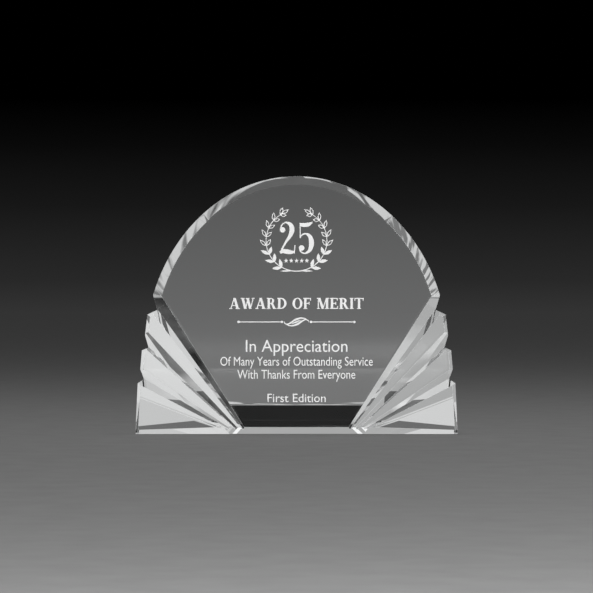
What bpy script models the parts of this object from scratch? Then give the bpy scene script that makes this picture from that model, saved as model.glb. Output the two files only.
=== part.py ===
"""Arched optical-crystal award with a fan of three cut blades at each lower side.

The block is one piece of crystal. Its artwork is etched into the front face as shallow
pockets, and each pocket holds its own run of white enamel.
"""

import math

import bmesh
import bpy
from mathutils import Vector
from mathutils.geometry import delaunay_2d_cdt

MM = 0.001

# Block, in millimetres. X runs across, Y from front to back, Z up from the resting face.
WIDTH = 158.75
HEIGHT = 127.0
THICKNESS = 19.0
FRONT = -THICKNESS / 2
BACK = THICKNESS / 2

# The arch is part of an ellipse.
ARCH_HALF_WIDTH = 74.8
ARCH_CENTRE_Z = 39.8
ARCH_RISE = HEIGHT - ARCH_CENTRE_Z
ARCH_END_Z = 68.3
ARCH_STEPS = 120

# Outline of the right-hand fan, from the base up: each blade's outer corners and the notch above it.
BASE_CORNER = (WIDTH / 2, 0.0)
LOW_BLADE = [(78.2, 25.1), (75.2, 27.0)]
MIDDLE_BLADE = [(76.9, 32.0), (76.1, 41.3), (73.0, 42.6)]
TOP_BLADE = [(74.6, 48.6), (73.4, 58.9), (68.6, 61.2)]

# Each groove: upper edge and lower edge on the front face (foot, outer end), then the outer
# end of its bottom line and the depth there.
GROOVES = [
    {"upper": [(25.8, 3.7), (66.6, 68.3)], "lower": [(28.0, 3.7), (69.8, 58.2)],
     "bottom": (68.75, 61.7), "depth": 6.0},
    {"upper": [(29.4, 3.7), (72.5, 49.8)], "lower": [(31.6, 3.7), (72.3, 40.3)],
     "bottom": (73.1, 43.0), "depth": 5.5},
    {"upper": [(33.7, 3.7), (75.9, 32.2)], "lower": [(37.2, 3.7), (75.5, 23.5)],
     "bottom": (75.3, 27.4), "depth": 5.0},
]
GROOVE_OVERRUN = 1.25
GROOVE_PROUD = 1.1

# The lowest blade has a second, slightly tilted face below this line.
LOW_FACET_LINE = [(39.5, 3.7), (77.2, 18.2)]
LOW_FACET_CORNER = (79.0, 3.5)
LOW_FACET_DEPTH = 1.3

# Ground bevels: width on the face, depth on the edge.
ARCH_BEVEL_FRONT = (4.2, 3.2)
ARCH_BEVEL_BACK = (2.4, 2.4)
FAN_BEVEL_FRONT = (1.5, 1.5)
FAN_BEVEL_BACK = (1.0, 1.0)
BASE_BEVEL_FRONT = 3.5
BASE_BEVEL_BACK = 1.2
BASE_TRIM = 3.0
CUTTER_LAP = 0.25

# Etched artwork.
POCKET_DEPTH = 0.5
ENAMEL_THICKNESS = 0.4
ENAMEL_CLEARANCE = 0.05

WREATH_CENTRE_Z = 95.5
WREATH_RADIUS = 14.8
WREATH_START = -101.0
WREATH_END = 63.0
LEAF_PAIRS = 8
HOLLOW_PAIRS_FROM = 3
LEAF_LENGTH = 4.7
LEAF_WIDTH = 1.75
LEAF_RIM = 0.34
STEM_WIDTH = 0.5
STEM_TAPER = 0.45
STEM_STEPS = 12
STEM_SPREAD = 0.5
TAIL_START = 3.0
TAIL_SWEEP = 17.0
TAIL_SPREAD = (0.4, 2.4)
TAIL_WIDTH = 0.45
FIRST_LEAF = -62.0
LAST_LEAF = 57.0
LEAF_SHRINK = 0.25
OUTER_LEAF = (0.78, 13.0)
INNER_LEAF = (-0.5, 14.5)
LEAF_TURN_LOSS = 0.2
END_LEAF = (-3.0, 13.0)
END_LEAF_SPREAD = 0.8
HOLLOW_FROM = 0.17
HOLLOW_TO = 0.84

NUMERAL_HEIGHT = 16.0
NUMERAL_BASE_Z = 88.7
NUMERAL_GAP = 1.2

STAR_COUNT = 5
STAR_PITCH = 2.55
STAR_RADIUS = 1.15
STAR_Z = 85.4
STAR_WAIST = 0.42

TITLE = "AWARD OF MERIT"
TITLE_HEIGHT = 5.4
TITLE_BASE_Z = 61.7
LETTER_GAP = 0.075
WORD_GAP = 0.44
STEM = 0.21
HAIRLINE = 0.09
SERIF = 0.07
SERIF_REACH = 0.075

DIVIDER_Z = 55.3
DIVIDER_HALF = 28.5
RULE_WIDTH = 0.45
RULE_INNER = 7.1
RULE_BALL = 0.62

ROUND_POINTS = 16


def clear_scene():
    for obj in list(bpy.data.objects):
        bpy.data.objects.remove(obj, do_unlink=True)


# ---------------------------------------------------------------- materials


def make_material(name, colour, roughness, transmission=0.0, ior=1.5):
    material = bpy.data.materials.new(name)
    material.use_nodes = True
    shader = material.node_tree.nodes["Principled BSDF"]
    shader.inputs["Base Color"].default_value = (*colour, 1.0)
    shader.inputs["Roughness"].default_value = roughness
    shader.inputs["Metallic"].default_value = 0.0
    shader.inputs["Transmission Weight"].default_value = transmission
    shader.inputs["IOR"].default_value = ior
    return material


# ---------------------------------------------------------------- mesh helpers


def add_mesh(name, bm, material=None):
    bmesh.ops.recalc_face_normals(bm, faces=bm.faces)
    mesh = bpy.data.meshes.new(name)
    bm.to_mesh(mesh)
    bm.free()
    obj = bpy.data.objects.new(name, mesh)
    bpy.context.scene.collection.objects.link(obj)
    if material:
        mesh.materials.append(material)
    return obj


def solid_between(loops):
    """A closed solid through rings of equal point count, capped at both ends."""
    bm = bmesh.new()
    rings = [[bm.verts.new(Vector(p) * MM) for p in loop] for loop in loops]
    for ring, following in zip(rings, rings[1:]):
        for i in range(len(ring)):
            j = (i + 1) % len(ring)
            bm.faces.new((ring[i], ring[j], following[j], following[i]))
    bm.faces.new(rings[0])
    bm.faces.new(rings[-1])
    return bm


def add_cutter(name, bm, block):
    cutter = add_mesh(name, bm)
    cutter.hide_render = True
    cutter.display_type = "WIRE"
    modifier = block.modifiers.new(name, "BOOLEAN")
    modifier.operation = "DIFFERENCE"
    modifier.solver = "EXACT"
    modifier.object = cutter
    return cutter


# ---------------------------------------------------------------- block outline


def arch_angle():
    return math.asin((ARCH_END_Z - ARCH_CENTRE_Z) / ARCH_RISE)


def arch_points():
    """The arch from its right end over the top to its left end."""
    start = arch_angle()
    sweep = math.pi - 2 * start
    points = []
    for i in range(ARCH_STEPS + 1):
        angle = start + sweep * i / ARCH_STEPS
        x = ARCH_HALF_WIDTH * math.cos(angle)
        z = ARCH_CENTRE_Z + ARCH_RISE * math.sin(angle)
        points.append((x, z))
    return points


def fan_points():
    """The right-hand fan from the base corner up to the notch under the arch."""
    return [BASE_CORNER, *LOW_BLADE, *MIDDLE_BLADE, *TOP_BLADE]


def mirrored(points):
    return [(-x, z) for x, z in reversed(points)]


def outline_path():
    """The whole outline from below the right base corner to below the left one."""
    fan = [(BASE_CORNER[0], -BASE_TRIM), *fan_points()]
    return fan + arch_points() + mirrored(fan)


def inset_point(path, index, distance):
    """An outline point moved inwards by a distance, mitred at corners."""
    here = Vector(path[index])
    normals = []
    if index > 0:
        along = (here - Vector(path[index - 1])).normalized()
        normals.append(Vector((-along.y, along.x)))
    if index < len(path) - 1:
        along = (Vector(path[index + 1]) - here).normalized()
        normals.append(Vector((-along.y, along.x)))
    mitre = sum(normals, Vector((0.0, 0.0))).normalized()
    return here + mitre * (distance / mitre.dot(normals[0]))


def bevelled_rings(path, face, inwards, fan_bevel, arch_bevel):
    """The ring on a face, inside its bevel, and the ring at full size behind the bevel."""
    on_face, full = [], []
    for i, (x, z) in enumerate(path):
        width, depth = arch_bevel if z >= ARCH_END_Z else fan_bevel
        inner = inset_point(path, i, width)
        on_face.append((inner.x, face, inner.y))
        full.append((x, face + inwards * depth, z))
    return on_face, full


def make_block(material):
    path = outline_path()
    front, front_full = bevelled_rings(path, FRONT, 1, FAN_BEVEL_FRONT, ARCH_BEVEL_FRONT)
    back, back_full = bevelled_rings(path, BACK, -1, FAN_BEVEL_BACK, ARCH_BEVEL_BACK)
    bm = solid_between([front, front_full, back_full, back])
    bmesh.ops.connect_verts_nonplanar(bm, angle_limit=math.radians(0.01), faces=bm.faces)
    return add_mesh("crystal_block", bm, material)


# ---------------------------------------------------------------- block cutters


def level_bar(section):
    """A bar right across the block with a (y, z) section."""
    return solid_between([[(x, y, z) for y, z in section] for x in (-WIDTH, WIDTH)])


def cut_base(block):
    deep = -2 * BASE_TRIM
    trim = [(-THICKNESS, 0.0), (THICKNESS, 0.0), (THICKNESS, deep), (-THICKNESS, deep)]
    add_cutter("base_trim_cutter", level_bar(trim), block)
    for name, size, face, inwards in (
        ("base_bevel_front_cutter", BASE_BEVEL_FRONT, FRONT, 1),
        ("base_bevel_back_cutter", BASE_BEVEL_BACK, BACK, -1),
    ):
        lap = size * CUTTER_LAP
        proud = face - inwards * lap
        sunk = face + inwards * (size + lap)
        section = [(proud, size + lap), (sunk, -lap), (proud, -lap)]
        add_cutter(name, level_bar(section), block)


def crossing(a, b, c, d):
    """Where the line through a and b meets the line through c and d."""
    p, r = Vector(a), Vector(b) - Vector(a)
    q, s = Vector(c), Vector(d) - Vector(c)
    t = (q - p).cross(s) / r.cross(s)
    return p + r * t


def groove_cutter(groove, side):
    """A V-groove as a four-cornered wedge: its point is where both edges would meet."""
    apex = crossing(*groove["upper"], *groove["lower"])
    depth = groove["depth"] * GROOVE_OVERRUN

    def run_on(point):
        return apex + (Vector(point) - apex) * GROOVE_OVERRUN

    bottom = run_on(groove["bottom"])
    corners = [(apex.x, FRONT, apex.y), (bottom.x, FRONT + depth, bottom.y)]
    for edge in ("upper", "lower"):
        proud = bottom + (run_on(groove[edge][1]) - bottom) * GROOVE_PROUD
        corners.append((proud.x, FRONT - depth * (GROOVE_PROUD - 1), proud.y))
    bm = bmesh.new()
    verts = [bm.verts.new(Vector((side * x, y, z)) * MM) for x, y, z in corners]
    for triple in ((0, 1, 2), (0, 1, 3), (0, 2, 3), (1, 2, 3)):
        bm.faces.new([verts[i] for i in triple])
    return bm


def low_facet_cutter(side):
    """A slab whose inner face is the tilted lower face of the lowest blade."""
    foot, end = (Vector((side * x, FRONT, z)) for x, z in LOW_FACET_LINE)
    corner = Vector((side * LOW_FACET_CORNER[0], FRONT + LOW_FACET_DEPTH, LOW_FACET_CORNER[1]))
    along = (end - foot).normalized()
    down = corner - foot
    down = (down - along * down.dot(along)).normalized()
    out = along.cross(down)
    if out.y > 0:
        out = -out
    lead, reach, thickness = 3.0, 40.0, 6.0
    near = foot - along * lead - down * lead
    far = end + along * reach - down * lead
    base = [near, far, far + down * reach, near + down * reach]
    return solid_between([base, [p + out * thickness for p in base]])


def cut_fans(block):
    for side, word in ((1, "right"), (-1, "left")):
        add_cutter(f"low_facet_{word}_cutter", low_facet_cutter(side), block)
        for number, groove in enumerate(GROOVES, start=1):
            add_cutter(f"groove_{number}_{word}_cutter", groove_cutter(groove, side), block)


# ---------------------------------------------------------------- flat shapes, as (x, z) outlines
# grow widens a shape by that much on every side: the pockets use it, the enamel does not.


def slab(x0, x1, z0, z1, grow):
    return [(x0 - grow, z0 - grow), (x1 + grow, z0 - grow), (x1 + grow, z1 + grow), (x0 - grow, z1 + grow)]


def slant(x0, z0, x1, z1, width, grow):
    """A sloping bar with level ends."""
    half = width / 2 + grow
    lean = (x1 - x0) / (z1 - z0)
    if z0 < z1:
        z0, z1 = z0 - grow, z1 + grow
        x0, x1 = x0 - lean * grow, x1 + lean * grow
    else:
        z0, z1 = z0 + grow, z1 - grow
        x0, x1 = x0 + lean * grow, x1 - lean * grow
    return [(x0 - half, z0), (x0 + half, z0), (x1 + half, z1), (x1 - half, z1)]


def arc_band(cx, cz, outer, inner, start, end, grow):
    """Part of an elliptical ring between two angles in degrees."""
    points = []
    steps = ROUND_POINTS // 2
    for radii, sign, order in ((outer, 1, range(steps + 1)), (inner, -1, range(steps, -1, -1))):
        for i in order:
            angle = math.radians(start + (end - start) * i / steps)
            rx = radii[0] + sign * grow
            rz = radii[1] + sign * grow
            points.append((cx + rx * math.cos(angle), cz + rz * math.sin(angle)))
    return points


def disc(cx, cz, radius, grow):
    points = []
    for i in range(ROUND_POINTS):
        angle = 2 * math.pi * i / ROUND_POINTS
        points.append((cx + (radius + grow) * math.cos(angle), cz + (radius + grow) * math.sin(angle)))
    return points


def catmull_rom(p, q, r, s, t):
    bend = 2 * p - 5 * q + 4 * r - s
    twist = 3 * q - p - 3 * r + s
    return 0.5 * (2 * q + (r - p) * t + bend * t**2 + twist * t**3)


def smooth_path(points, steps):
    """A Catmull-Rom curve through tuples of any length."""
    padded = [points[0], *points, points[-1]]
    result = []
    for a, b, c, d in zip(padded, padded[1:], padded[2:], padded[3:]):
        for i in range(steps):
            t = i / steps
            result.append(tuple(catmull_rom(*four, t) for four in zip(a, b, c, d)))
    result.append(points[-1])
    return result


def ribbon(points, grow, steps=3):
    """A pen stroke through (x, z, width) points."""
    path = smooth_path(points, steps)
    left, right = [], []
    for i, (x, z, width) in enumerate(path):
        ahead = path[min(i + 1, len(path) - 1)]
        behind = path[max(i - 1, 0)]
        along = Vector((ahead[0] - behind[0], ahead[1] - behind[1])).normalized()
        half = width / 2 + grow
        run = grow * ((i == len(path) - 1) - (i == 0))
        centre = Vector((x, z)) + along * run
        left.append((centre.x - along.y * half, centre.y + along.x * half))
        right.append((centre.x + along.y * half, centre.y - along.x * half))
    return left + right[::-1]


def leaf(base, tip, width, grow):
    """A pointed almond from base to tip."""
    base, tip = Vector(base), Vector(tip)
    along = (tip - base).normalized()
    across = Vector((-along.y, along.x))
    base = base - along * grow
    tip = tip + along * grow
    sides = ((0.22, 0.62), (0.45, 1.0), (0.72, 0.72))
    half = width / 2 + grow
    one = [base.lerp(tip, t) + across * half * w for t, w in sides]
    other = [base.lerp(tip, t) - across * half * w for t, w in sides]
    return [tuple(p) for p in (base, *one, tip, *reversed(other))]


def placed(shape, x, z, scale):
    return [(x + px * scale, z + pz * scale) for px, pz in shape]


# ---------------------------------------------------------------- letters, one unit high


def letter_a(g):
    shapes = [slant(0.13, 0, 0.45, 1, 0.1, g), slant(0.47, 1, 0.77, 0, 0.23, g)]
    shapes += [slab(0.24, 0.66, 0.27, 0.35, g), slab(0, 0.28, 0, SERIF, g), slab(0.57, 0.96, 0, SERIF, g)]
    return shapes, 0.96


def letter_d(g):
    bowl_x = 0.36
    shapes = stem_with_serifs(g)
    shapes += [arc_band(bowl_x, 0.5, (0.48, 0.5), (0.26, 0.5 - HAIRLINE), -90, 90, g)]
    shapes += [slab(0, bowl_x, 0, HAIRLINE, g), slab(0, bowl_x, 1 - HAIRLINE, 1, g)]
    return shapes, 0.86


def letter_e(g):
    shapes = stem_with_serifs(g)
    shapes += [slab(0, 0.7, 1 - HAIRLINE, 1, g), slab(0.62, 0.7, 0.75, 1, g)]
    shapes += [slab(0.1, 0.56, 0.46, 0.46 + HAIRLINE, g), slab(0.49, 0.56, 0.37, 0.64, g)]
    shapes += [slab(0, 0.73, 0, HAIRLINE, g), slab(0.65, 0.73, 0, 0.26, g)]
    return shapes, 0.76


def letter_f(g):
    shapes = stem_with_serifs(g)
    shapes += [slab(0, 0.7, 1 - HAIRLINE, 1, g), slab(0.62, 0.7, 0.75, 1, g)]
    shapes += [slab(0.1, 0.56, 0.46, 0.46 + HAIRLINE, g), slab(0.49, 0.56, 0.37, 0.64, g)]
    return shapes, 0.72


def letter_i(g):
    return stem_with_serifs(g), STEM + 2 * SERIF_REACH


def letter_m(g):
    shapes = [slab(0.09, 0.18, 0, 1, g), slant(0.22, 1, 0.54, 0, 0.22, g)]
    shapes += [slant(0.54, 0, 0.87, 1, 0.09, g)]
    shapes += [slab(0.82, 1.03, 0, 1, g), slab(0, 0.28, 0, SERIF, g), slab(0.73, 1.12, 0, SERIF, g)]
    shapes += [slab(0, 0.28, 1 - SERIF, 1, g), slab(0.84, 1.12, 1 - SERIF, 1, g)]
    return shapes, 1.12


def letter_o(g):
    outer, inner = (0.46, 0.52), (0.235, 0.44)
    return [arc_band(0.46, 0.5, outer, inner, a, a + 180, g) for a in (-90, 90)], 0.92


def letter_r(g):
    bowl_x = 0.38
    shapes = stem_with_serifs(g)
    shapes += [arc_band(bowl_x, 0.735, (0.29, 0.265), (0.1, 0.175), -90, 90, g)]
    shapes += [slab(0, bowl_x, 1 - HAIRLINE, 1, g), slab(0.1, bowl_x, 0.47, 0.56, g)]
    shapes += [slant(0.44, 0.54, 0.71, 0, 0.23, g), slab(0.56, 0.88, 0, SERIF, g)]
    return shapes, 0.88


def letter_t(g):
    middle = 0.42
    shapes = [slab(middle - STEM / 2, middle + STEM / 2, 0, 1, g)]
    shapes += [slab(0, 2 * middle, 1 - HAIRLINE, 1, g)]
    shapes += [slab(0, 0.08, 0.74, 1, g), slab(2 * middle - 0.08, 2 * middle, 0.74, 1, g)]
    shapes += [slab(middle - STEM / 2 - SERIF_REACH, middle + STEM / 2 + SERIF_REACH, 0, SERIF, g)]
    return shapes, 2 * middle


def letter_w(g):
    shapes = [slant(0.17, 1, 0.43, 0, 0.23, g), slant(0.45, 0, 0.66, 1, 0.09, g)]
    shapes += [slant(0.62, 1, 0.88, 0, 0.23, g), slant(0.9, 0, 1.14, 1, 0.09, g)]
    shapes += [slab(0, 0.36, 1 - SERIF, 1, g), slab(0.46, 0.8, 1 - SERIF, 1, g)]
    shapes += [slab(1.0, 1.27, 1 - SERIF, 1, g)]
    return shapes, 1.27


def stem_with_serifs(g):
    wide = STEM + 2 * SERIF_REACH
    upright = slab(SERIF_REACH, SERIF_REACH + STEM, 0, 1, g)
    return [upright, slab(0, wide, 0, SERIF, g), slab(0, wide, 1 - SERIF, 1, g)]


LETTERS = {
    "A": letter_a, "D": letter_d, "E": letter_e, "F": letter_f, "I": letter_i,
    "M": letter_m, "O": letter_o, "R": letter_r, "T": letter_t, "W": letter_w,
}


# ---------------------------------------------------------------- numerals, one unit high


def numeral_two(g):
    hook = [
        (0.05, 0.75, 0.03), (0.09, 0.89, 0.035), (0.22, 0.97, 0.05), (0.36, 0.9, 0.12),
        (0.405, 0.74, 0.15), (0.34, 0.55, 0.11), (0.2, 0.34, 0.06), (0.07, 0.1, 0.04),
    ]
    foot = [
        (0.035, 0.04, 0.07), (0.12, 0.085, 0.12), (0.25, 0.075, 0.14), (0.38, 0.055, 0.11),
        (0.47, 0.07, 0.05),
    ]
    shapes = [ribbon(hook, g), ribbon(foot, g), disc(0.115, 0.745, 0.085, g)]
    return shapes + [slant(0.475, 0.02, 0.495, 0.27, 0.03, g)], 0.51


def numeral_five(g):
    flag = [
        (0.08, 0.91, 0.1), (0.19, 0.89, 0.12), (0.31, 0.905, 0.12), (0.41, 0.955, 0.06),
        (0.45, 0.99, 0.02),
    ]
    bowl = [
        (0.07, 0.5, 0.03), (0.13, 0.59, 0.035), (0.25, 0.625, 0.05), (0.375, 0.53, 0.12),
        (0.42, 0.33, 0.155), (0.365, 0.12, 0.11), (0.22, 0.022, 0.045), (0.09, 0.07, 0.035),
        (0.045, 0.18, 0.03),
    ]
    shapes = [ribbon(flag, g), ribbon(bowl, g), disc(0.115, 0.185, 0.085, g)]
    return shapes + [slab(0.055, 0.085, 0.49, 0.96, g)], 0.5


# ---------------------------------------------------------------- ornaments


def on_ring(side, degrees, spread=0.0):
    """A point on one branch of the wreath, spread outwards from its ring."""
    angle = math.radians(degrees)
    radius = WREATH_RADIUS + spread
    return (side * radius * math.cos(angle), WREATH_CENTRE_Z + radius * math.sin(angle))


def branch_stem(side, g):
    points = []
    for i in range(STEM_STEPS + 1):
        t = i / STEM_STEPS
        degrees = WREATH_START + (WREATH_END - WREATH_START) * t
        x, z = on_ring(side, degrees, STEM_SPREAD * (1 - t))
        points.append((x, z, STEM_WIDTH * (1 - STEM_TAPER * t)))
    return ribbon(points, g, steps=2)


def branch_tail(side, g):
    root = on_ring(side, WREATH_START + TAIL_START, TAIL_SPREAD[0])
    tip = on_ring(side, WREATH_START - TAIL_SWEEP, TAIL_SPREAD[1])
    return leaf(root, tip, LEAF_WIDTH * TAIL_WIDTH, g)


def wreath_shapes(g):
    """Two leafy branches that cross at the bottom: the shapes and the hollows in the leaves."""
    shapes, hollows = [], []
    for side in (1, -1):
        shapes += [branch_stem(side, g), branch_tail(side, g)]
        for pair in range(LEAF_PAIRS):
            t = pair / (LEAF_PAIRS - 1)
            at = FIRST_LEAF + (LAST_LEAF - FIRST_LEAF) * t
            base = on_ring(side, at, STEM_SPREAD * (1 - t))
            length = LEAF_LENGTH * (1 - LEAF_SHRINK * t)
            for reach, turn in (OUTER_LEAF, INNER_LEAF):
                tip = on_ring(side, at + turn * (1 - LEAF_TURN_LOSS * t), length * reach)
                add_leaf(shapes, hollows, base, tip, pair >= HOLLOW_PAIRS_FROM, g)
        end_base = on_ring(side, WREATH_END + END_LEAF[0])
        end_tip = on_ring(side, WREATH_END + END_LEAF[1], END_LEAF_SPREAD)
        add_leaf(shapes, hollows, end_base, end_tip, True, g)
    return shapes, hollows


def add_leaf(shapes, hollows, base, tip, hollow, g):
    shapes.append(leaf(base, tip, LEAF_WIDTH, g))
    if hollow:
        start = Vector(base).lerp(Vector(tip), HOLLOW_FROM)
        end = Vector(base).lerp(Vector(tip), HOLLOW_TO)
        hollows.append(leaf(start, end, LEAF_WIDTH - 2 * LEAF_RIM, -g))


def star(x, z, g):
    points = []
    for i in range(10):
        radius = (STAR_RADIUS if i % 2 == 0 else STAR_RADIUS * STAR_WAIST) + g
        angle = math.radians(90 + 36 * i)
        points.append((x + radius * math.cos(angle), z + radius * math.sin(angle)))
    return points


def rule_shapes(side, g):
    ends = sorted((side * RULE_INNER, side * DIVIDER_HALF))
    shapes = [slab(*ends, DIVIDER_Z - RULE_WIDTH / 2, DIVIDER_Z + RULE_WIDTH / 2, g)]
    return shapes + [disc(x, DIVIDER_Z, RULE_BALL, g) for x in ends]


def scroll_shapes(g):
    """An open knot of two pen strokes, each the other turned half way round."""
    stroke = [
        (-6.0, 0.2, 0.3), (-5.7, -0.75, 0.45), (-4.4, -1.15, 0.6), (-2.6, -0.3, 0.75),
        (-0.6, 1.05, 0.95), (1.8, 1.85, 0.75), (3.8, 1.75, 0.5), (5.3, 1.0, 0.3),
    ]
    shapes = []
    for turn in (1, -1):
        shapes.append(ribbon([(turn * x, DIVIDER_Z + turn * z, w) for x, z, w in stroke], g))
    return shapes


def scroll_core(g):
    return [leaf((-2.7, DIVIDER_Z - 1.15), (2.7, DIVIDER_Z + 1.15), 0.8, g)]


# ---------------------------------------------------------------- filling flat shapes


def inside(point, outline):
    x, z = point
    hit = False
    for (x0, z0), (x1, z1) in zip(outline, outline[1:] + outline[:1]):
        if (z0 > z) != (z1 > z) and x < x0 + (z - z0) * (x1 - x0) / (z1 - z0):
            hit = not hit
    return hit


def filled(shapes, hollows, y0, y1):
    """One solid from overlapping outlines, less the hollows, between two depths."""
    coords, edges = [], []
    for outline in [*shapes, *hollows]:
        first = len(coords)
        count = len(outline)
        coords += [Vector(p) for p in outline]
        edges += [(first + i, first + (i + 1) % count) for i in range(count)]
    verts, _, faces, *_ = delaunay_2d_cdt(coords, edges, [], 0, 0.001)
    bm = bmesh.new()
    made = {}
    for face in faces:
        centre = sum((verts[i] for i in face), Vector((0.0, 0.0))) / len(face)
        wanted = any(inside(centre, s) for s in shapes) and not any(inside(centre, h) for h in hollows)
        if not wanted:
            continue
        for i in face:
            if i not in made:
                made[i] = bm.verts.new(Vector((verts[i].x, y0, verts[i].y)) * MM)
        bm.faces.new([made[i] for i in face])
    bmesh.ops.dissolve_limit(bm, angle_limit=math.radians(0.5), verts=bm.verts, edges=bm.edges)
    extruded = bmesh.ops.extrude_face_region(bm, geom=bm.faces[:])["geom"]
    raised = [v for v in extruded if isinstance(v, bmesh.types.BMVert)]
    bmesh.ops.translate(bm, verts=raised, vec=Vector((0, y1 - y0, 0)) * MM)
    return bm


# ---------------------------------------------------------------- artwork


def title_pieces(g):
    """Each letter of the title as (name, shapes), centred on the face."""
    unit = g / TITLE_HEIGHT
    cursor = 0.0
    letters = []
    for character in TITLE:
        if character == " ":
            cursor += WORD_GAP
            continue
        shapes, advance = LETTERS[character](unit)
        letters.append((character, cursor, shapes))
        cursor += advance + LETTER_GAP
    left = -(cursor - LETTER_GAP) * TITLE_HEIGHT / 2
    pieces = []
    for number, (character, start, shapes) in enumerate(letters, start=1):
        x = left + start * TITLE_HEIGHT
        moved = [placed(s, x, TITLE_BASE_Z, TITLE_HEIGHT) for s in shapes]
        pieces.append((f"title_letter_{number:02d}_{character.lower()}", moved, []))
    return pieces


def numeral_pieces(g):
    unit = g / NUMERAL_HEIGHT
    two, two_width = numeral_two(unit)
    five, five_width = numeral_five(unit)
    total = (two_width + five_width) * NUMERAL_HEIGHT + NUMERAL_GAP
    left = -total / 2
    middle = left + two_width * NUMERAL_HEIGHT + NUMERAL_GAP
    return [
        ("numeral_two", [placed(s, left, NUMERAL_BASE_Z, NUMERAL_HEIGHT) for s in two], []),
        ("numeral_five", [placed(s, middle, NUMERAL_BASE_Z, NUMERAL_HEIGHT) for s in five], []),
    ]


def star_pieces(g):
    first = -(STAR_COUNT - 1) / 2
    return [
        (f"star_{i + 1}", [star((first + i) * STAR_PITCH, STAR_Z, g)], []) for i in range(STAR_COUNT)
    ]


def artwork_pieces(g):
    """Every run of enamel as (name, shapes, hollows)."""
    pieces = [("laurel_wreath", *wreath_shapes(g))]
    pieces += numeral_pieces(g)
    pieces += star_pieces(g)
    pieces += title_pieces(g)
    pieces.append(("divider_rule_left", rule_shapes(-1, g), []))
    pieces.append(("divider_rule_right", rule_shapes(1, g), []))
    pieces.append(("divider_scroll", scroll_shapes(g), []))
    pieces.append(("divider_scroll_core", scroll_core(g), []))
    return pieces


def cut_pockets(block):
    pockets = bmesh.new()
    for name, shapes, hollows in artwork_pieces(ENAMEL_CLEARANCE):
        solid = filled(shapes, hollows, FRONT - POCKET_DEPTH, FRONT + POCKET_DEPTH)
        bmesh.ops.recalc_face_normals(solid, faces=solid.faces)
        mesh = bpy.data.meshes.new(name)
        solid.to_mesh(mesh)
        solid.free()
        pockets.from_mesh(mesh)
        bpy.data.meshes.remove(mesh)
    add_cutter("artwork_pocket_cutter", pockets, block)


def make_enamel(material):
    gap = (POCKET_DEPTH - ENAMEL_THICKNESS) / 2
    for name, shapes, hollows in artwork_pieces(0.0):
        solid = filled(shapes, hollows, FRONT + gap, FRONT + gap + ENAMEL_THICKNESS)
        add_mesh(name, solid, material)


def main():
    clear_scene()
    crystal = make_material("optical_crystal", (0.95, 0.97, 0.97), 0.02, transmission=1.0, ior=1.52)
    enamel = make_material("white_enamel", (0.9, 0.9, 0.88), 0.45)
    block = make_block(crystal)
    cut_base(block)
    cut_fans(block)
    cut_pockets(block)
    make_enamel(enamel)


main()
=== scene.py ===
"""The looks of the crystal award: cut and polished crystal, white enamel artwork, studio.

Clear crystal shows what stands behind it, so most of the studio is a set of fixed, glowing cards.
They are placed for the main camera, and stay where they are in every other view.
"""

import math

import bmesh
import bpy
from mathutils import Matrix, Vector


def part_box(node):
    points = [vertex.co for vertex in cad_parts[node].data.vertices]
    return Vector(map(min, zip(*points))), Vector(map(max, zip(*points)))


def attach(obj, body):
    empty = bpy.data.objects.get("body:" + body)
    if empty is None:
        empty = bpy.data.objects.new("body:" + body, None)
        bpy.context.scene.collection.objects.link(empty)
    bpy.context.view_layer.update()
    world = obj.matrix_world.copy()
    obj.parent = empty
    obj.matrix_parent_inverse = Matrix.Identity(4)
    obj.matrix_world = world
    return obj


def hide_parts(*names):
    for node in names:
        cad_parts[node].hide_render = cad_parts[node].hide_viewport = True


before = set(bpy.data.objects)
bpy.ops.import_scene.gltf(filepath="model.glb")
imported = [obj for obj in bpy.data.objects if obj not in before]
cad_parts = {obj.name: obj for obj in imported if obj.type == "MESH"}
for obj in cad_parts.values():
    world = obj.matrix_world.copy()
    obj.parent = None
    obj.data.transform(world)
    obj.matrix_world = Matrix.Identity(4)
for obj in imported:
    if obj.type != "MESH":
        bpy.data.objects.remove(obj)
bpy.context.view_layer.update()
bpy.context.scene.view_settings.view_transform = "Standard"

MM = 0.001
BODY = "root"

# The part's own box sets every place below.
block_low, block_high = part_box("crystal_block")
front_y = block_low.y
back_y = block_high.y
height = block_high.z
middle = (block_low + block_high) / 2


# The crystal and its ground edges, in millimetres and degrees.
CRYSTAL_IOR = 1.52
WELD = 0.002
FLAT_ANGLE = 0.2
ARRIS_ANGLE = 3.6
ARRIS_WIDTH = 0.4
POCKET_REACH = 0.6
ARTWORK_HALF_WIDTH = 45
ARTWORK_FOOT = 45

# The small lettering: how deep each letter is, how far it stands proud, and type size to cap height.
LETTER_DEPTH = 0.1
LETTER_PROUD = 0.02
TYPE_TO_CAP = 1.38

# The main camera: its distance from the front face, its height and the height it aims at.
CAMERA_DISTANCE = 1.62
CAMERA_RISE = 0.012
CAMERA_DROP = 0.0043
CAMERA_LENS = 200.0

# How light each thing seen through the crystal is.
PANEL_LOW = 0.165
PANEL_HIGH = 0.100
FLOOR_VEIL = 0.185
FAN_LEFT = 0.72
FAN_RIGHT = 0.43
LOW_FACET_LEFT = 0.60
LOW_FACET_RIGHT = 0.68
LOW_STRIP = 0.16
FOOT_DARK = 0.012
FOOT_LINE = 0.22
FOOT_SEAM = 0.035

# The backdrop at eye level, and the even light that falls on the floor.
BACKDROP_FOOT = -0.012
BACKDROP_TOP = 0.055
BACKDROP = [(0.0, 0.036), (0.18, 0.0215), (0.52, 0.0085), (0.79, 0.0028), (1.0, 0.0)]
FLOOR_FILL = 0.086

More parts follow.
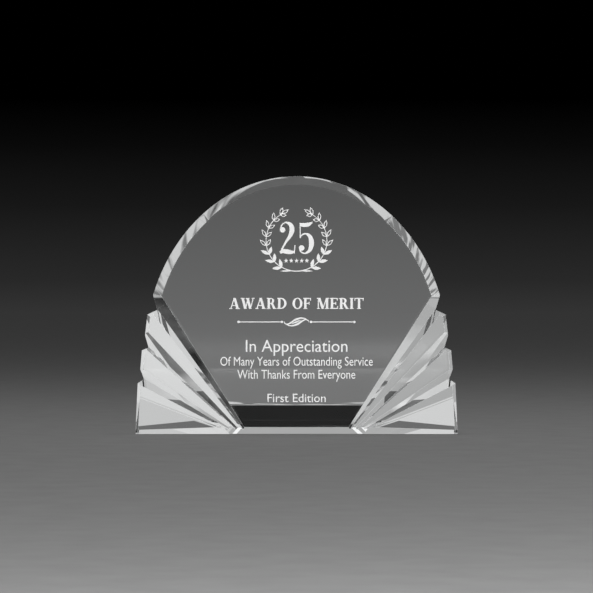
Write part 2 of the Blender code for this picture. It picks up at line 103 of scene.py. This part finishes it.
# What the crystal sees around it: a patchy light tent behind, a dim even surround in front.
TENT_SCALE = 5.0
TENT = [(0.40, 0.18), (0.50, 0.6), (0.62, 1.0)]
SURROUND = [(0.0, 0.025), (0.12, 0.06), (0.45, 0.35)]
TENT_BLEND = 0.3

# The wall card and the floor card that lies before it, in metres. The wall's light fades upwards.
WALL_GAP = 1.2
WALL_FADE = 0.165
WALL_HALF_WIDTH = 1.5
WALL_HEIGHT = 1.2
FLOOR_VEIL_START = 0.378

# How far behind the award the other upright cards stand, in metres.
NEAR_GAP = 0.018
FOOT_GAP = 0.020
LOW_GAP = 0.009
CARD_STEP = 0.001

# Outlines of the upright cards, as they are seen through the front face in millimetres.
BAND_TOP = 14.2
FAN_OUTLINE = [(26.5, 3.7), (68.0, 68.3), (84, 68.3), (84, 20.8), (39.5, 3.7)]
LOW_OUTLINE = [(38.5, 4.0), (84, 21.5), (84, 3.7)]
STRIP_OUTLINE = [(39.5, 4.2), (50.0, 7.6), (79.0, 4.7), (79.0, 3.4), (39.5, 3.4)]
FOOT_HALF = [(39.5, 3.4), (62.5, 12.4), (58.0, BAND_TOP)]
FOOT_LINE_OUTLINE = [(-32.6, BAND_TOP), (32.6, BAND_TOP), (32.9, BAND_TOP + 0.3), (-32.9, BAND_TOP + 0.3)]
FOOT_SEAM_OUTLINE = [(-28.3, 6.9), (28.3, 6.9), (28.4, 7.15), (-28.4, 7.15)]

# The light that leaves the back through the foot bevel: its height in millimetres at the back face,
# how that grows up the bevel, and how steeply it climbs.
BEVEL_FOOT = 4.8
BEVEL_GROWTH = 1.31
BEVEL_CLIMB = 0.459
BEVEL_CLIMB_GROWTH = 0.0008
BEVEL_CARD_DISTANCE = 1.0
BEVEL_BAR_DISTANCE = 0.98
BEVEL_CARD_OUTLINE = [(-84, -3), (84, -3), (84, 8), (-84, 8)]
BEVEL_BAR_FOOT = -0.5
BEVEL_BAR_TOP = 4.5


# ---------------------------------------------------------------- node helpers


def new_material(name):
    material = bpy.data.materials.new(name)
    material.use_nodes = True
    material.node_tree.nodes.clear()
    return material


def add_node(material, kind, **inputs):
    """A shader node with its sockets set by name, with underscores for spaces."""
    node = material.node_tree.nodes.new(kind)
    for name, value in inputs.items():
        node.inputs[name.replace("_", " ")].default_value = value
    return node


def link(material, source, target):
    material.node_tree.links.new(source, target)


def surface(material, shader):
    output = material.node_tree.nodes.new("ShaderNodeOutputMaterial")
    link(material, shader.outputs[0], output.inputs["Surface"])


def grey_ramp(nodes, stops):
    """A colour ramp of (position, grey) stops."""
    node = nodes.new("ShaderNodeValToRGB")
    elements = node.color_ramp.elements
    elements[0].position = stops[0][0]
    elements[1].position = stops[-1][0]
    for position, _ in stops[1:-1]:
        elements.new(position)
    for element, (_, grey) in zip(elements, stops):
        element.color = (grey, grey, grey, 1.0)
    return node


def ramp(material, factor, stops):
    """A grey ramp in a material, driven by a factor."""
    node = grey_ramp(material.node_tree.nodes, stops)
    link(material, factor, node.inputs["Fac"])
    return node


# ---------------------------------------------------------------- materials


def crystal_material():
    """Clear optical crystal: faint polishing haze and finger marks, almost flat faces."""
    material = new_material("optical_crystal")
    shader = add_node(
        material, "ShaderNodeBsdfPrincipled",
        Base_Color=(0.985, 0.995, 0.995, 1.0), Metallic=0.0, IOR=CRYSTAL_IOR, Transmission_Weight=1.0,
    )
    place = material.node_tree.nodes.new("ShaderNodeTexCoord")
    marks = add_node(material, "ShaderNodeTexNoise", Scale=38.0, Detail=6.0, Roughness=0.6)
    link(material, place.outputs["Object"], marks.inputs["Vector"])
    haze = ramp(material, marks.outputs["Fac"], [(0.5, 0.0), (0.75, 0.006)])
    link(material, haze.outputs["Color"], shader.inputs["Roughness"])
    grind = add_node(material, "ShaderNodeTexNoise", Scale=70.0, Detail=1.0, Roughness=0.4)
    link(material, place.outputs["Object"], grind.inputs["Vector"])
    bump = add_node(material, "ShaderNodeBump", Strength=0.01, Distance=0.00001)
    link(material, grind.outputs["Fac"], bump.inputs["Height"])
    link(material, bump.outputs["Normal"], shader.inputs["Normal"])
    surface(material, shader)
    return material


def arris_highlight_material():
    """The fine seams ground along the cut edges: rough and almost opaque white, a painted highlight that
    shows each edge as a white line.
    """
    material = new_material("painted_arris_highlight")
    # Near-white base with little transmission: painted white highlight along the edges.
    shader = add_node(
        material, "ShaderNodeBsdfPrincipled",
        Base_Color=(0.96, 0.98, 0.98, 1.0), Metallic=0.0, IOR=CRYSTAL_IOR, Transmission_Weight=0.15,
    )
    place = material.node_tree.nodes.new("ShaderNodeTexCoord")
    grit = add_node(material, "ShaderNodeTexNoise", Scale=1400.0, Detail=3.0, Roughness=0.6)
    link(material, place.outputs["Object"], grit.inputs["Vector"])
    frost = ramp(material, grit.outputs["Fac"], [(0.3, 0.18), (0.7, 0.42)])
    link(material, frost.outputs["Color"], shader.inputs["Roughness"])
    bump = add_node(material, "ShaderNodeBump", Strength=0.3, Distance=0.00003)
    link(material, grit.outputs["Fac"], bump.inputs["Height"])
    link(material, bump.outputs["Normal"], shader.inputs["Normal"])
    surface(material, shader)
    return material


def enamel_material():
    """White enamel fill: satin, with a fine sanded grain and slightly uneven cover."""
    material = new_material("white_enamel")
    shader = add_node(material, "ShaderNodeBsdfPrincipled", Metallic=0.0, IOR=1.5)
    place = material.node_tree.nodes.new("ShaderNodeTexCoord")
    grain = add_node(material, "ShaderNodeTexNoise", Scale=2600.0, Detail=4.0, Roughness=0.65)
    cloud = add_node(material, "ShaderNodeTexNoise", Scale=240.0, Detail=3.0, Roughness=0.5)
    for noise in (grain, cloud):
        link(material, place.outputs["Object"], noise.inputs["Vector"])
    cover = ramp(material, cloud.outputs["Fac"], [(0.3, 0.93), (0.7, 0.99)])
    link(material, cover.outputs["Color"], shader.inputs["Base Color"])
    satin = ramp(material, grain.outputs["Fac"], [(0.3, 0.38), (0.7, 0.6)])
    link(material, satin.outputs["Color"], shader.inputs["Roughness"])
    bump = add_node(material, "ShaderNodeBump", Strength=0.35, Distance=0.00004)
    link(material, grain.outputs["Fac"], bump.inputs["Height"])
    link(material, bump.outputs["Normal"], shader.inputs["Normal"])
    surface(material, shader)
    return material


# ---------------------------------------------------------------- crystal block


def polished_block(material, painted_edge_highlight):
    """The CAD block with its flat faces made whole and a fine arris ground along each cut edge, which takes
    the painted white highlight.
    """
    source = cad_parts["crystal_block"]
    bm = bmesh.new()
    bm.from_mesh(source.data)
    bmesh.ops.remove_doubles(bm, verts=bm.verts, dist=WELD * MM)
    bmesh.ops.dissolve_limit(bm, angle_limit=math.radians(FLAT_ANGLE), verts=bm.verts, edges=bm.edges)
    sharp = math.radians(ARRIS_ANGLE)
    pocket_floor = front_y + POCKET_REACH * MM
    artwork_side = ARTWORK_HALF_WIDTH * MM
    artwork_foot = ARTWORK_FOOT * MM
    weight = bm.edges.layers.float.new("bevel_weight_edge")
    for edge in bm.edges:
        edge.smooth = edge.calc_face_angle(0.0) < sharp
        in_artwork = all(
            v.co.y < pocket_floor and abs(v.co.x) < artwork_side and v.co.z > artwork_foot for v in edge.verts
        )
        if not edge.smooth and not in_artwork:
            edge[weight] = 1.0
    for face in bm.faces:
        face.smooth = True
    mesh = bpy.data.meshes.new("crystal")
    bm.to_mesh(mesh)
    bm.free()
    block = bpy.data.objects.new("crystal", mesh)
    bpy.context.scene.collection.objects.link(block)
    mesh.materials.append(material)
    # Second slot: the painted white edge highlight, which the arris bevel takes.
    mesh.materials.append(painted_edge_highlight)
    arris = block.modifiers.new("arris", "BEVEL")
    arris.material = 1
    arris.limit_method = "WEIGHT"
    arris.width = ARRIS_WIDTH * MM
    arris.segments = 2
    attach(block, BODY)
    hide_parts("crystal_block")


# ---------------------------------------------------------------- small lettering

LINES = [
    # words, base line, cap height and width in millimetres
    ("In Appreciation", 40.6, 6.2, 50.0),
    ("Of Many Years of Outstanding Service", 33.8, 4.6, 75.0),
    ("With Thanks From Everyone", 27.4, 4.6, 58.0),
    ("First Edition", 15.9, 4.3, 28.6),
]


def letter_line(text, base_mm, size_mm, width_mm, material):
    """One centred line of thin enamel letters on the front face, fitted to its width."""
    curve = bpy.data.curves.new("line", "FONT")
    curve.body = text
    curve.size = size_mm * TYPE_TO_CAP * MM
    curve.align_x = "CENTER"
    curve.extrude = LETTER_DEPTH * MM
    curve.resolution_u = 4
    curve.materials.append(material)
    name = "line_" + text.lower().replace(" ", "_")[:20]
    obj = bpy.data.objects.new(name, curve)
    bpy.context.scene.collection.objects.link(obj)
    obj.rotation_euler = (math.pi / 2, 0, 0)
    obj.location = (0.0, front_y + (LETTER_DEPTH - LETTER_PROUD) * MM, base_mm * MM)
    bpy.context.view_layer.update()
    obj.scale = (width_mm * MM / obj.dimensions.x, 1.0, 1.0)
    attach(obj, BODY)


# ---------------------------------------------------------------- studio


def floor_material():
    """Matt mid-grey floor with a faint tooth."""
    material = new_material("floor")
    shader = add_node(material, "ShaderNodeBsdfPrincipled", Roughness=0.9, Specular_IOR_Level=0.0)
    place = material.node_tree.nodes.new("ShaderNodeTexCoord")
    tooth = add_node(material, "ShaderNodeTexNoise", Scale=60.0, Detail=5.0)
    link(material, place.outputs["Object"], tooth.inputs["Vector"])
    tone = ramp(material, tooth.outputs["Fac"], [(0.3, 0.36), (0.7, 0.39)])
    link(material, tone.outputs["Color"], shader.inputs["Base Color"])
    surface(material, shader)
    return material


def make_floor():
    """A wide round floor that isn't mirrored in the crystal."""
    bm = bmesh.new()
    bmesh.ops.create_circle(bm, cap_ends=True, segments=96, radius=6.0)
    mesh = bpy.data.meshes.new("floor")
    bm.to_mesh(mesh)
    bm.free()
    floor = bpy.data.objects.new("floor", mesh)
    bpy.context.scene.collection.objects.link(floor)
    floor.location.z = block_low.z - 0.05 * MM
    floor.visible_glossy = False
    mesh.materials.append(floor_material())


def soft_light(name, place, aim, size, power):
    """A soft box that isn't itself seen, neither directly nor in the crystal."""
    data = bpy.data.lights.new(name, "AREA")
    data.shape = "RECTANGLE"
    data.size, data.size_y = size
    data.energy = power
    light = bpy.data.objects.new(name, data)
    bpy.context.scene.collection.objects.link(light)
    light.location = place
    light.rotation_euler = (Vector(aim) - Vector(place)).to_track_quat("-Z", "Y").to_euler()
    light.visible_camera = False
    light.visible_glossy = False
    light.visible_transmission = False


def soft_lamp(name, place, radius, power):
    """A round lamp without a shadow, which makes the floor lighter towards the front."""
    data = bpy.data.lights.new(name, "POINT")
    data.shadow_soft_size = radius
    data.energy = power
    lamp = bpy.data.objects.new(name, data)
    bpy.context.scene.collection.objects.link(lamp)
    lamp.location = place
    data.use_shadow = False
    lamp.visible_camera = False
    lamp.visible_glossy = False
    lamp.visible_transmission = False


def glow_material(name, low, high, bottom, top):
    """Even light whose strength runs from low to high between two heights."""
    material = new_material(name)
    place = material.node_tree.nodes.new("ShaderNodeTexCoord")
    split = material.node_tree.nodes.new("ShaderNodeSeparateXYZ")
    link(material, place.outputs["Object"], split.inputs["Vector"])
    rise = add_node(material, "ShaderNodeMapRange")
    rise.inputs["From Min"].default_value = bottom
    rise.inputs["From Max"].default_value = top
    rise.inputs["To Min"].default_value = low
    rise.inputs["To Max"].default_value = high
    link(material, split.outputs["Z"], rise.inputs["Value"])
    glow = add_node(material, "ShaderNodeEmission")
    link(material, rise.outputs["Result"], glow.inputs["Strength"])
    surface(material, glow)
    return material


def card(name, corners, material, faces=None):
    """A studio card that is seen only through the crystal: one flat face unless faces are given."""
    mesh = bpy.data.meshes.new(name)
    mesh.from_pydata(corners, [], faces or [range(len(corners))])
    mesh.materials.append(material)
    obj = bpy.data.objects.new(name, mesh)
    bpy.context.scene.collection.objects.link(obj)
    obj.visible_camera = False
    obj.visible_diffuse = False
    obj.visible_shadow = False
    obj.visible_volume_scatter = False
    obj.visible_glossy = False


def behind(x_mm, z_mm, gap):
    """The point behind the award that the main camera sees through a point of its front face."""
    depth = gap + (back_y - front_y) / CRYSTAL_IOR
    spread = 1 + depth / CAMERA_DISTANCE
    camera_z = middle.z + CAMERA_RISE
    return (x_mm * MM * spread, back_y + gap, camera_z + (z_mm * MM - camera_z) * spread)


def sight_card(name, outline, gap, material):
    """An upright card whose outline is given as it is seen through the front face."""
    card(name, [behind(x, z, gap) for x, z in outline], material)


def mirrored(points, side):
    """The outline as it is for the right-hand side, 1, or turned over for the left, -1."""
    return [(side * x, z) for x, z in points]


def streak_material(name, dark, light, scale, edges, stretch):
    """Light broken into soft patches, as off crumpled foil and other pieces standing near."""
    material = new_material(name)
    place = material.node_tree.nodes.new("ShaderNodeTexCoord")
    mapping = add_node(material, "ShaderNodeMapping", Scale=stretch)
    link(material, place.outputs["Object"], mapping.inputs["Vector"])
    patches = add_node(material, "ShaderNodeTexNoise", Scale=scale, Detail=2.0, Roughness=0.5)
    link(material, mapping.outputs["Vector"], patches.inputs["Vector"])
    level = ramp(material, patches.outputs["Fac"], [(edges[0], dark), (edges[1], light)])
    glow = add_node(material, "ShaderNodeEmission")
    link(material, level.outputs["Color"], glow.inputs["Color"])
    surface(material, glow)
    return material


def caustic_material(name, light, scale, edges):
    """Bright streaks on the floor like those that crystal throws, with the floor between them."""
    material = new_material(name)
    place = material.node_tree.nodes.new("ShaderNodeTexCoord")
    patches = add_node(material, "ShaderNodeTexNoise", Scale=scale, Detail=2.0, Roughness=0.5)
    link(material, place.outputs["Object"], patches.inputs["Vector"])
    level = ramp(material, patches.outputs["Fac"], [(edges[0], 0.0), (edges[1], 1.0)])
    clear = add_node(material, "ShaderNodeBsdfTransparent")
    glow = add_node(material, "ShaderNodeEmission", Strength=light)
    mix = material.node_tree.nodes.new("ShaderNodeMixShader")
    link(material, level.outputs["Color"], mix.inputs[0])
    link(material, clear.outputs[0], mix.inputs[1])
    link(material, glow.outputs[0], mix.inputs[2])
    surface(material, mix)
    return material


def plain_glow(name, level):
    """Even light of one strength."""
    return glow_material(name, level, level, 0.0, 1.0)


def make_back_cards():
    """What shows through the flat faces: grey behind the panel, light behind the fans, black at the foot."""
    wall_y = back_y + WALL_GAP
    wall = [
        (-WALL_HALF_WIDTH, wall_y, 0.0), (WALL_HALF_WIDTH, wall_y, 0.0),
        (WALL_HALF_WIDTH, wall_y, WALL_HEIGHT), (-WALL_HALF_WIDTH, wall_y, WALL_HEIGHT),
    ]
    card("wall_card", wall, glow_material("veil", PANEL_LOW, PANEL_HIGH, 0.0, WALL_FADE))
    veil = plain_glow("floor_veil", FLOOR_VEIL)
    level_card("floor_veil_card", (-WALL_HALF_WIDTH, WALL_HALF_WIDTH), (FLOOR_VEIL_START, WALL_GAP), veil)
    for word, side, level, low_level in (
        ("left", -1, FAN_LEFT, LOW_FACET_LEFT), ("right", 1, FAN_RIGHT, LOW_FACET_RIGHT)
    ):
        fan = plain_glow(f"{word}_fan", level)
        sight_card(f"{word}_fan_card", mirrored(FAN_OUTLINE, side), NEAR_GAP, fan)
        low = plain_glow(f"{word}_low", low_level)
        sight_card(f"{word}_low_card", mirrored(LOW_OUTLINE, side), LOW_GAP, low)
        dim = plain_glow(f"{word}_strip", LOW_STRIP)
        sight_card(f"{word}_strip_card", mirrored(STRIP_OUTLINE, side), LOW_GAP - CARD_STEP, dim)
    foot_outline = mirrored(FOOT_HALF, -1) + list(reversed(FOOT_HALF))
    sight_card("foot_card", foot_outline, FOOT_GAP, plain_glow("foot", FOOT_DARK))
    sight_card("foot_line", FOOT_LINE_OUTLINE, FOOT_GAP - CARD_STEP, plain_glow("line", FOOT_LINE))
    sight_card("foot_seam", FOOT_SEAM_OUTLINE, FOOT_GAP - CARD_STEP, plain_glow("seam", FOOT_SEAM))


LEVEL_LIFT = 0.4


def level_card(name, x_range, y_range, material):
    """A card lying just over the floor behind the award; y is measured from the back face."""
    z = block_low.z + LEVEL_LIFT * MM
    corners = [
        (x_range[0], back_y + y_range[0], z), (x_range[1], back_y + y_range[0], z),
        (x_range[1], back_y + y_range[1], z), (x_range[0], back_y + y_range[1], z),
    ]
    card(name, corners, material)


# Half widths of the bands in metres, and their heights over the floor in millimetres.
RIM_BAND = 0.010
RISER_BAND = 0.006
RIM_LIFT = 0.8
RISER_LIFT = 0.5
LOW_RISER_LIFT = 0.7


def band_card(name, path, half_width, material, lift):
    """A narrow band along a path just over the floor, its points measured from the back face."""
    points = [Vector((x, back_y + y, block_low.z + lift * MM)) for x, y in path]
    verts = []
    for i, point in enumerate(points):
        before, after = points[max(i - 1, 0)], points[min(i + 1, len(points) - 1)]
        along = (after - before).normalized()
        aside = Vector((-along.y, along.x, 0.0)) * half_width
        verts += [point - aside, point + aside]
    faces = [(2 * i, 2 * i + 2, 2 * i + 3, 2 * i + 1) for i in range(len(points) - 1)]
    card(name, verts, material, faces)


# Where the arch rim looks down on the floor, from the top of the arch to its right-hand foot.
RIM_PATH = [
    (0.0, 0.350), (0.028, 0.363), (0.047, 0.395), (0.063, 0.425),
    (0.078, 0.455), (0.090, 0.490), (0.102, 0.515), (0.113, 0.550), (0.125, 0.590),
]

# Where the steep side of the uppermost right-hand groove looks down on it, and those of the others.
RISER_PATH = [(0.026, 0.010), (0.072, 0.043), (0.097, 0.065), (0.121, 0.084), (0.150, 0.106)]
LOW_RISER_PATH = [(0.040, 0.010), (0.062, 0.021), (0.080, 0.031), (0.104, 0.036)]


def make_floor_cards():
    """Streaks of light on the floor, which the steep facets and the arch rim look down on."""
    light = caustic_material("rim_light", 0.62, 46.0, (0.40, 0.56))
    blocks = caustic_material("rim_blocks", 0.62, 60.0, (0.45, 0.52))
    gleam = caustic_material("low_riser_light", 0.5, 120.0, (0.42, 0.58))
    for word, side, rim, level in (("left", -1, blocks, 0.3), ("right", 1, light, 0.9)):
        sparkle = caustic_material(f"{word}_riser_light", level, 130.0, (0.48, 0.58))
        band_card(f"{word}_rim_card", mirrored(RIM_PATH, side), RIM_BAND, rim, RIM_LIFT)
        band_card(f"{word}_riser_card", mirrored(RISER_PATH, side), RISER_BAND, sparkle, RISER_LIFT)
        band_card(f"{word}_low_riser_card", mirrored(LOW_RISER_PATH, side), RISER_BAND, gleam, LOW_RISER_LIFT)


GROOVE_CARD_DISTANCE = 1.1
GROOVE_CARD_HALF_WIDTH = 0.11


def distant_card(name, azimuth, heights, material):
    """An upright card at a distance from the award, square to an azimuth, between two heights."""
    turn = math.radians(azimuth)
    centre = Vector((math.sin(turn), math.cos(turn), 0.0)) * GROOVE_CARD_DISTANCE
    across = Vector((math.cos(turn), -math.sin(turn), 0.0)) * GROOVE_CARD_HALF_WIDTH
    low, high = (Vector((0.0, 0.0, h)) for h in heights)
    corners = [centre - across + low, centre + across + low, centre + across + high, centre - across + high]
    card(name, corners, material)


GROOVE_CARDS = [
    # word, azimuth, heights, dark, light, pattern scale, pattern edges
    ("left_first", 24.0, (0.20, 0.375), 0.010, 0.13, 14.0, (0.42, 0.66)),
    ("left_second", 19.8, (0.3751, 0.460), 0.17, 0.45, 12.0, (0.40, 0.60)),
    ("left_third", 18.8, (0.4601, 0.680), 0.30, 0.65, 12.0, (0.42, 0.58)),
    ("right_first", -24.0, (0.20, 0.375), 0.44, 0.66, 9.0, (0.40, 0.60)),
    ("right_second", -19.8, (0.3751, 0.460), 0.42, 0.80, 12.0, (0.42, 0.58)),
    ("right_third", -18.8, (0.4601, 0.680), 0.45, 1.00, 12.0, (0.44, 0.56)),
]


def make_groove_cards():
    """What the wide facets of the grooves look at: the left wing looks right, the right wing left."""
    for word, azimuth, heights, dark, light, scale, edges in GROOVE_CARDS:
        streaks = streak_material(word, dark, light, scale, edges, (1.0, 1.0, 2.5))
        distant_card(f"{word}_card", azimuth, heights, streaks)


BEVEL_BARS = [
    # x at the foot, lean towards the top, width, light; millimetres on the bevel
    (31.5, -6.0, 2.6, 1.0), (36.5, -5.5, 2.4, 1.0), (42.0, -6.5, 3.0, 1.0),
    (-33.0, 5.0, 2.2, 1.0), (-37.5, 5.0, 2.0, 0.6), (-42.0, 5.5, 2.4, 0.95),
]


def bevel_sight(x_mm, z_mm, distance):
    """The point that the main camera sees through a point of the foot bevel, that far behind."""
    spread = 1 + distance / CAMERA_DISTANCE
    climb = BEVEL_CLIMB + z_mm * BEVEL_CLIMB_GROWTH
    rise = BEVEL_FOOT + BEVEL_GROWTH * z_mm + distance / MM * climb
    return (x_mm * MM * spread, back_y + distance, rise * MM)


def make_bevel_cards():
    """Glowing cards behind the foot bevel: an even grey glow, with slanting light bars at the foot of each
    fan.
    """
    backing = streak_material("foot_bevel", 0.36, 0.44, 6.0, (0.35, 0.65), (1.0, 1.0, 0.3))
    backing_corners = [bevel_sight(x, z, BEVEL_CARD_DISTANCE) for x, z in BEVEL_CARD_OUTLINE]
    card("foot_bevel_card", backing_corners, backing)
    for number, (x_low, lean, width, level) in enumerate(BEVEL_BARS):
        bar = [
            (x_low, BEVEL_BAR_FOOT), (x_low + width, BEVEL_BAR_FOOT),
            (x_low + width + lean, BEVEL_BAR_TOP), (x_low + lean, BEVEL_BAR_TOP),
        ]
        corners = [bevel_sight(x, z, BEVEL_BAR_DISTANCE) for x, z in bar]
        card(f"bevel_bar_{number}", corners, plain_glow(f"bevel_bar_{number}", level))


def mix_node(nodes, links, factor, first, second):
    """The first colour where the factor is 0 and the second where it is 1."""
    node = nodes.new("ShaderNodeMix")
    node.data_type = "RGBA"
    links.new(factor, node.inputs["Factor"])
    links.new(first, node.inputs["A"])
    links.new(second, node.inputs["B"])
    return node.outputs["Result"]


def make_world():
    """A dark backdrop for the camera, faint fill on the floor, and a light tent in the crystal."""
    world = bpy.data.worlds.new("studio")
    bpy.context.scene.world = world
    world.use_nodes = True
    world.cycles.sampling_method = "NONE"
    nodes = world.node_tree.nodes
    links = world.node_tree.links
    nodes.clear()
    place = nodes.new("ShaderNodeTexCoord")
    split = nodes.new("ShaderNodeSeparateXYZ")
    links.new(place.outputs["Generated"], split.inputs["Vector"])
    height_up = nodes.new("ShaderNodeMapRange")
    height_up.inputs["From Min"].default_value = BACKDROP_FOOT
    height_up.inputs["From Max"].default_value = BACKDROP_TOP
    links.new(split.outputs["Z"], height_up.inputs["Value"])
    backdrop = grey_ramp(nodes, BACKDROP)
    links.new(height_up.outputs["Result"], backdrop.inputs["Fac"])
    patches = nodes.new("ShaderNodeTexNoise")
    patches.inputs["Scale"].default_value = TENT_SCALE
    patches.inputs["Detail"].default_value = 2.0
    links.new(place.outputs["Generated"], patches.inputs["Vector"])
    tent = grey_ramp(nodes, TENT)
    links.new(patches.outputs["Fac"], tent.inputs["Fac"])
    even = grey_ramp(nodes, SURROUND)
    links.new(split.outputs["Z"], even.inputs["Fac"])
    rear = nodes.new("ShaderNodeMapRange")
    rear.inputs["From Min"].default_value = -TENT_BLEND
    rear.inputs["From Max"].default_value = TENT_BLEND
    links.new(split.outputs["Y"], rear.inputs["Value"])
    fill = grey_ramp(nodes, [(0.0, FLOOR_FILL), (1.0, FLOOR_FILL)])
    path = nodes.new("ShaderNodeLightPath")
    around = mix_node(nodes, links, rear.outputs["Result"], even.outputs["Color"], tent.outputs["Color"])
    lit = mix_node(nodes, links, path.outputs["Is Diffuse Ray"], around, fill.outputs["Color"])
    seen = mix_node(nodes, links, path.outputs["Is Camera Ray"], lit, backdrop.outputs["Color"])
    background = nodes.new("ShaderNodeBackground")
    links.new(seen, background.inputs["Color"])
    output = nodes.new("ShaderNodeOutputWorld")
    links.new(background.outputs["Background"], output.inputs["Surface"])


def make_camera():
    """The main camera: long lens, just above the middle of the award, looking very slightly down."""
    data = bpy.data.cameras.new("camera")
    data.sensor_width = 36.0
    data.lens = CAMERA_LENS
    camera = bpy.data.objects.new("camera", data)
    bpy.context.scene.collection.objects.link(camera)
    camera.location = (0.0, front_y - CAMERA_DISTANCE, middle.z + CAMERA_RISE)
    aim = Vector((0.0, front_y, middle.z + CAMERA_DROP))
    camera.rotation_euler = (aim - camera.location).to_track_quat("-Z", "Y").to_euler()
    data.clip_start = 0.05
    data.clip_end = 30.0
    bpy.context.scene.camera = camera


# ---------------------------------------------------------------- build


crystal = crystal_material()
enamel = enamel_material()
# The arris bevels get the painted white edge highlight.
polished_block(crystal, arris_highlight_material())
for name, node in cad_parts.items():
    if name != "crystal_block":
        for slot in node.material_slots:
            slot.material = enamel
for text, base_mm, size_mm, width_mm in LINES:
    letter_line(text, base_mm, size_mm, width_mm, enamel)

make_floor()
make_world()
make_camera()
make_back_cards()
make_floor_cards()
make_groove_cards()
make_bevel_cards()
soft_lamp("front_key", (0.6, -1.9, 0.38), 0.22, 110.0)
soft_light("overhead", (0.0, 0.05, 0.95), (0.0, 0.05, 0.0), (0.6, 0.4), 1.4)
soft_light("letter_light", (0.0, -1.2, 0.08), (0.0, 0.0, 0.07), (0.4, 0.2), 1.9)
